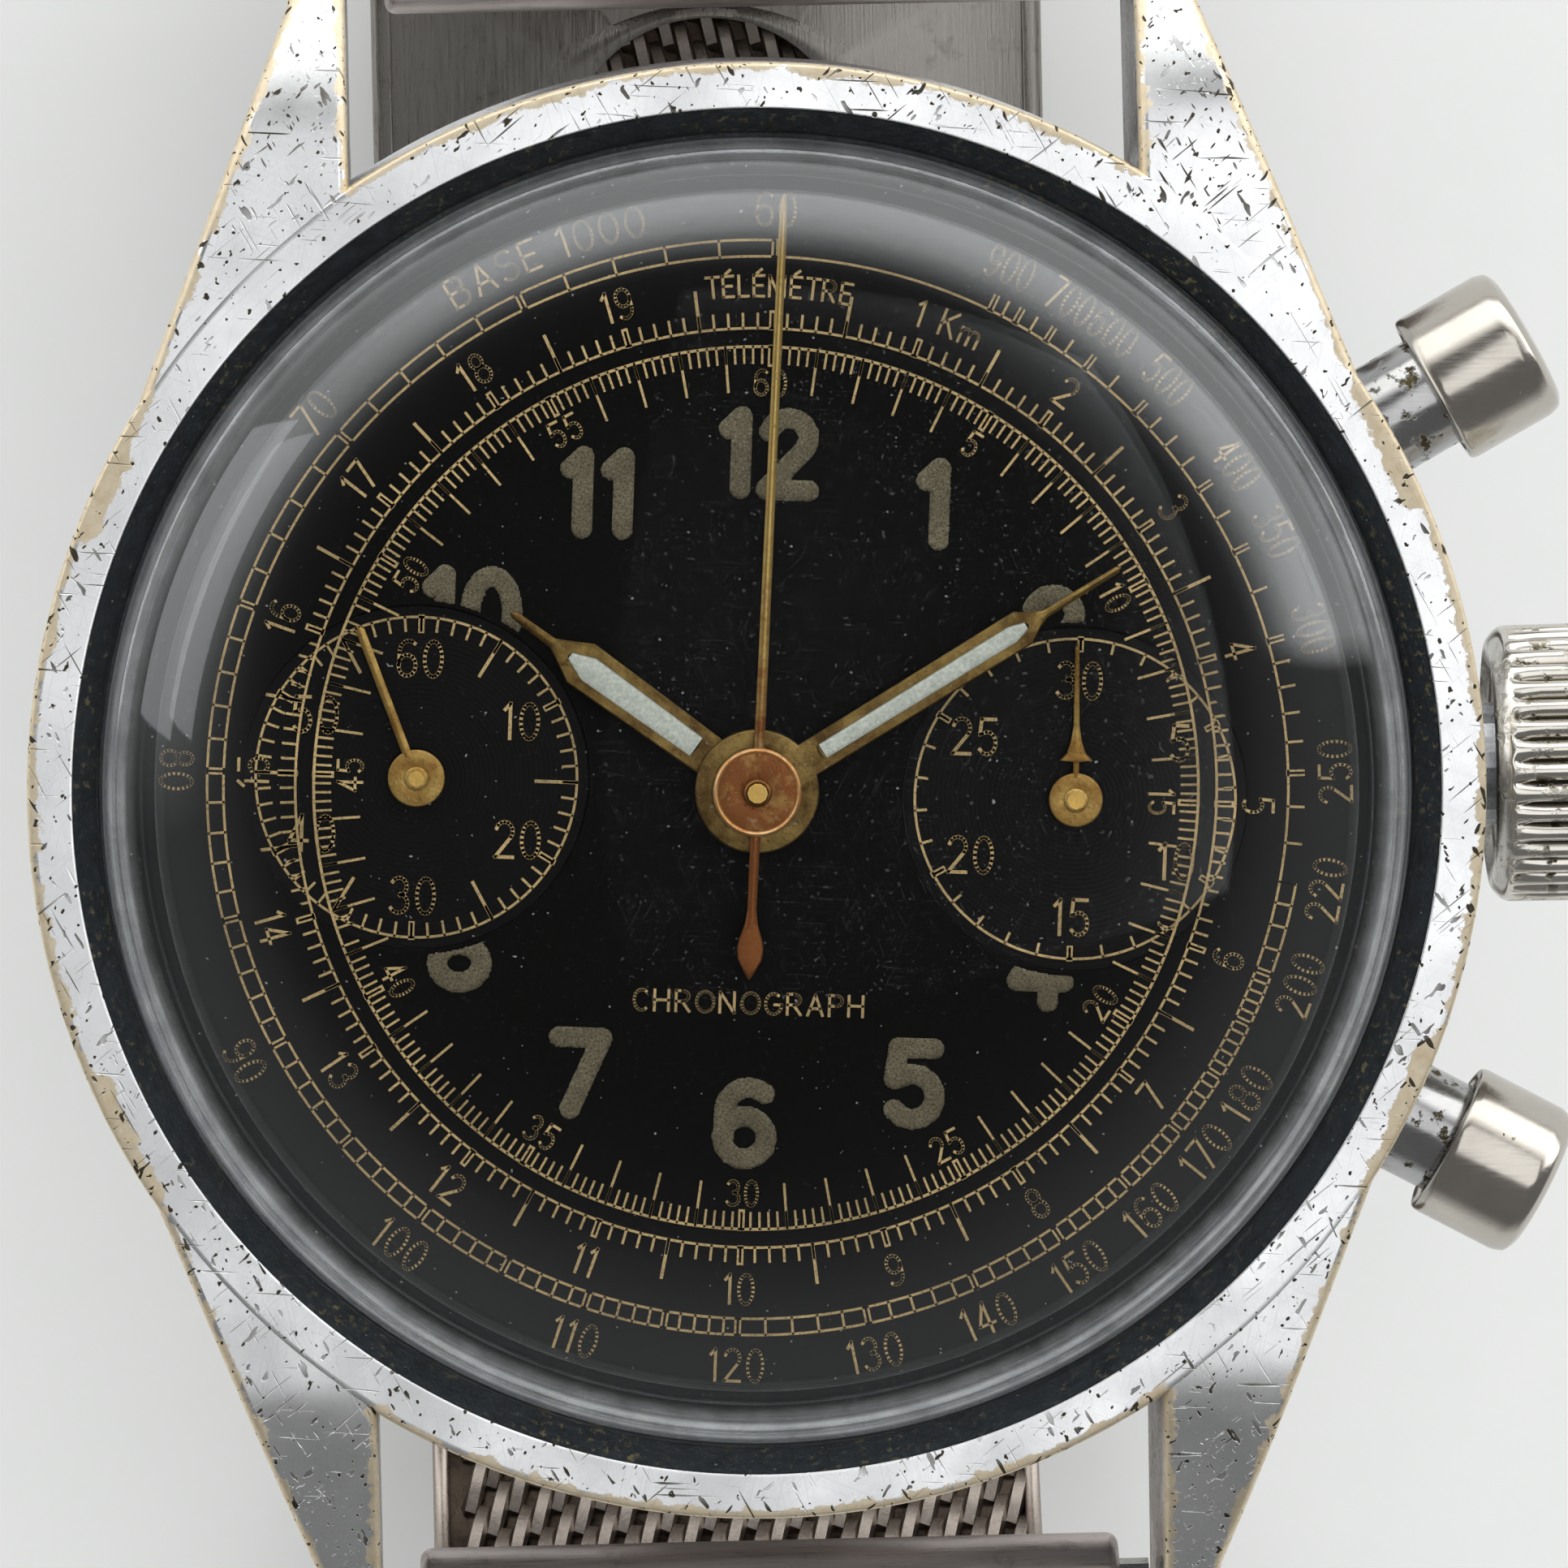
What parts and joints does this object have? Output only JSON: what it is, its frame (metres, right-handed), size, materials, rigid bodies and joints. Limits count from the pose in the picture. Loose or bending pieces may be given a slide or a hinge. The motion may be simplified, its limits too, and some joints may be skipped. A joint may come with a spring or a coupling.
{
  "type": "wrist chronograph",
  "caption": "Two-register mechanical chronograph in a round lugged steel case with crown, round pushers and domed crystal, on a closed woven mesh bracelet.",
  "frame": {"origin": "on the hands' axis, in the plane of the clasp lever's flat outer face that the closed bracelet stands on", "axes": "+Z out of the dial, +Y towards 12 o'clock, +X towards the crown"},
  "size_m": [0.0398, 0.0592, 0.0582],
  "materials": {
    "case_steel": "polished and worn",
    "case_back_steel": "brushed",
    "movement_brass": "satin",
    "acrylic_crystal": "clear domed acrylic",
    "dial_black": "black gloss with gilt print",
    "hand_gilt": "tarnished gilt",
    "chronograph_hand_copper": "gilt to copper",
    "crown_nickel": "nickel plated",
    "pusher_nickel": "nickel plated, worn",
    "tube_nickel": "tarnished",
    "bracelet_steel": "brushed",
    "mesh_steel": "woven wire",
    "clasp_steel": "satin",
    "bar_steel": "turned",
    "movement_steel": "polished flanks"
  },
  "bodies": {
    "case": {"case_middle": "case_steel", "case_back": "case_back_steel", "casing_ring": "movement_brass", "crystal": "acrylic_crystal", "dial": "dial_black", "main_plate": "movement_brass", "barrel_bridge": "movement_brass", "train_bridge": "movement_brass", "balance_cock": "movement_brass", "chronograph_bridge": "movement_brass", "crown_tube": "tube_nickel", "pusher_tube_upper": "tube_nickel", "pusher_tube_lower": "tube_nickel", "pusher_spring_upper": "movement_steel", "pusher_spring_lower": "movement_steel", "spring_bar_12": "bar_steel", "spring_bar_6": "bar_steel"},
    "seconds_train": {"fourth_wheel": "movement_brass", "running_seconds_hand": "hand_gilt"},
    "third_wheel": {"third_wheel": "movement_brass"},
    "centre_train": {"centre_wheel": "movement_brass", "cannon_pinion": "movement_steel", "minute_hand": "hand_gilt"},
    "minute_wheel": {"minute_wheel": "movement_brass"},
    "hour_train": {"hour_wheel": "movement_brass", "hour_hand": "hand_gilt"},
    "barrel": {"barrel": "movement_brass", "mainspring": "movement_steel"},
    "escape_wheel": {"escape_wheel": "movement_steel"},
    "pallet_fork": {"pallet_fork": "movement_steel"},
    "balance": {"balance_wheel": "movement_brass", "hairspring": "movement_steel"},
    "chronograph": {"chronograph_runner": "movement_brass", "chronograph_hand": "chronograph_hand_copper"},
    "recorder": {"recorder_wheel": "movement_brass", "recorder_hand": "hand_gilt"},
    "coupling_lever": {"coupling_lever": "movement_steel"},
    "coupling_wheel": {"coupling_wheel": "movement_brass"},
    "column_wheel": {"column_wheel": "movement_steel"},
    "operating_lever": {"operating_lever": "movement_steel"},
    "reset_hammer": {"reset_hammer": "movement_steel"},
    "pusher_upper": {"pusher_upper": "pusher_nickel"},
    "pusher_lower": {"pusher_lower": "pusher_nickel"},
    "setting_lever": {"setting_lever": "movement_steel"},
    "crown": {"crown": "crown_nickel", "winding_stem": "movement_steel"},
    "winding_pinion": {"winding_pinion": "movement_steel"},
    "crown_wheel": {"crown_wheel": "movement_steel"},
    "barrel_arbor": {"barrel_arbor": "movement_steel", "ratchet_wheel": "movement_steel"},
    "click": {"click": "movement_steel"},
    "strap_12": {"end_piece_12": "bracelet_steel", "mesh_12": "mesh_steel", "clasp_plate": "clasp_steel", "clasp_pin": "clasp_steel"},
    "strap_6": {"end_piece_6": "bracelet_steel", "mesh_6": "mesh_steel"},
    "clasp_lever": {"clasp_lever": "clasp_steel"}
  },
  "joints": [
    {"name": "running_seconds_turn", "type": "hinge", "parent": "case", "child": "seconds_train", "pos_m": [-0.00829, 0.00046, 0.05], "axis": [0, 0, -1], "continuous": true},
    {"name": "third_wheel_turn", "type": "hinge", "parent": "case", "child": "third_wheel", "pos_m": [-0.00431, -0.00244, 0.05], "axis": [0, 0, -1], "continuous": true},
    {"name": "minute_hand_turn", "type": "hinge", "parent": "case", "child": "centre_train", "pos_m": [0, 0, 0.05], "axis": [0, 0, -1], "continuous": true},
    {"name": "minute_wheel_turn", "type": "hinge", "parent": "case", "child": "minute_wheel", "pos_m": [0.00018, 0.00319, 0.05], "axis": [0, 0, -1], "continuous": true},
    {"name": "hour_hand_turn", "type": "hinge", "parent": "case", "child": "hour_train", "pos_m": [0, 0, 0.05], "axis": [0, 0, -1], "continuous": true},
    {"name": "barrel_turn", "type": "hinge", "parent": "case", "child": "barrel", "pos_m": [0.00329, 0.00502, 0.05], "axis": [0, 0, -1], "continuous": true},
    {"name": "escape_wheel_turn", "type": "hinge", "parent": "case", "child": "escape_wheel", "pos_m": [-0.00965, -0.00271, 0.05], "axis": [0, 0, -1], "continuous": true},
    {"name": "pallet_fork_rock", "type": "hinge", "parent": "case", "child": "pallet_fork", "pos_m": [-0.00803, -0.00487, 0.05], "axis": [0, 0, -1], "range_deg": [-5, 5]},
    {"name": "balance_swing", "type": "hinge", "parent": "case", "child": "balance", "pos_m": [-0.00593, -0.00767, 0.05], "axis": [0, 0, -1], "range_deg": [-270, 270], "stiffness_Nm_per_rad": 0.0000004},
    {"name": "chronograph_seconds_turn", "type": "hinge", "parent": "case", "child": "chronograph", "pos_m": [0, 0, 0.05], "axis": [0, 0, -1], "continuous": true},
    {"name": "minute_recorder_turn", "type": "hinge", "parent": "case", "child": "recorder", "pos_m": [0.00779, -0.00044, 0.05], "axis": [0, 0, -1], "continuous": true},
    {"name": "coupling_lever_swing", "type": "hinge", "parent": "case", "child": "coupling_lever", "pos_m": [-0.00829, 0.00046, 0.05], "axis": [0, 0, -1], "range_deg": [0, 20]},
    {"name": "coupling_wheel_turn", "type": "hinge", "parent": "coupling_lever", "child": "coupling_wheel", "pos_m": [-0.00536, 0.00135, 0.05], "axis": [0, 0, -1], "continuous": true},
    {"name": "column_wheel_turn", "type": "hinge", "parent": "case", "child": "column_wheel", "pos_m": [0.00658, 0.00693, 0.05], "axis": [0, 0, -1], "continuous": true},
    {"name": "upper_pusher_press", "type": "slide", "parent": "case", "child": "pusher_upper", "axis": [-0.878, -0.4787, 0], "range_m": [0, 0.0009], "stiffness_N_per_m": 3000, "springref_m": -0.0015},
    {"name": "operating_lever_swing", "type": "hinge", "parent": "case", "child": "operating_lever", "pos_m": [0.0122, 0.0023, 0.0487], "axis": [0, 0, 1], "range_deg": [0, 13.6]},
    {"name": "lower_pusher_press", "type": "slide", "parent": "case", "child": "pusher_lower", "axis": [-0.878, 0.4787, 0], "range_m": [0, 0.0009], "stiffness_N_per_m": 3000, "springref_m": -0.0015},
    {"name": "reset_hammer_swing", "type": "hinge", "parent": "case", "child": "reset_hammer", "pos_m": [0.0122, -0.0023, 0.0487], "axis": [0, 0, -1], "range_deg": [0, 13.6]},
    {"name": "crown_pull", "type": "slide", "parent": "case", "child": "setting_lever", "axis": [1, 0, 0], "range_m": [0, 0.0008]},
    {"name": "crown_turn", "type": "hinge", "parent": "setting_lever", "child": "crown", "pos_m": [0.013, 0, 0.05035], "axis": [1, 0, 0], "continuous": true},
    {"name": "winding_pinion_turn", "type": "hinge", "parent": "case", "child": "winding_pinion", "pos_m": [0.011, 0, 0.05035], "axis": [1, 0, 0], "continuous": true},
    {"name": "crown_wheel_turn", "type": "hinge", "parent": "case", "child": "crown_wheel", "pos_m": [0.00763, 0.00293, 0.05], "axis": [0, 0, -1], "continuous": true},
    {"name": "ratchet_wheel_turn", "type": "hinge", "parent": "case", "child": "barrel_arbor", "pos_m": [0.00329, 0.00502, 0.05], "axis": [0, 0, -1], "continuous": true},
    {"name": "click_lift", "type": "hinge", "parent": "case", "child": "click", "pos_m": [-0.00071, 0.00885, 0.05], "axis": [0, 0, -1], "range_deg": [0, 10], "stiffness_Nm_per_rad": 0.0005},
    {"name": "strap_12_swing", "type": "hinge", "parent": "case", "child": "strap_12", "pos_m": [0, 0.0204, 0.049], "axis": [1, 0, 0], "range_deg": [0, 60]},
    {"name": "strap_6_swing", "type": "hinge", "parent": "case", "child": "strap_6", "pos_m": [0, -0.0204, 0.049], "axis": [-1, 0, 0], "range_deg": [0, 60]},
    {"name": "clasp_lever_open", "type": "hinge", "parent": "strap_12", "child": "clasp_lever", "pos_m": [0, 0.0134, 0.0006], "axis": [1, 0, 0], "range_deg": [0, 100]}
  ],
  "couplings": [
    {"joint": "third_wheel_turn", "follows": "running_seconds_turn", "ratio": -0.13333},
    {"joint": "minute_hand_turn", "follows": "running_seconds_turn", "ratio": 0.016667},
    {"joint": "minute_wheel_turn", "follows": "running_seconds_turn", "ratio": -0.0055556},
    {"joint": "hour_hand_turn", "follows": "running_seconds_turn", "ratio": 0.0013889},
    {"joint": "barrel_turn", "follows": "running_seconds_turn", "ratio": -0.002381},
    {"joint": "escape_wheel_turn", "follows": "running_seconds_turn", "ratio": -6.6667},
    {"joint": "coupling_wheel_turn", "follows": "running_seconds_turn", "ratio": -2.4444},
    {"joint": "minute_recorder_turn", "follows": "chronograph_seconds_turn", "ratio": 0.033333},
    {"joint": "operating_lever_swing", "follows": "upper_pusher_press", "rad_per_m": 262},
    {"joint": "reset_hammer_swing", "follows": "lower_pusher_press", "rad_per_m": 262},
    {"joint": "winding_pinion_turn", "follows": "crown_turn", "ratio": 1},
    {"joint": "crown_wheel_turn", "follows": "crown_turn", "ratio": 0.7},
    {"joint": "ratchet_wheel_turn", "follows": "crown_turn", "ratio": -0.53846},
    {"joint": "strap_6_swing", "follows": "strap_12_swing", "ratio": 1}
  ]
}
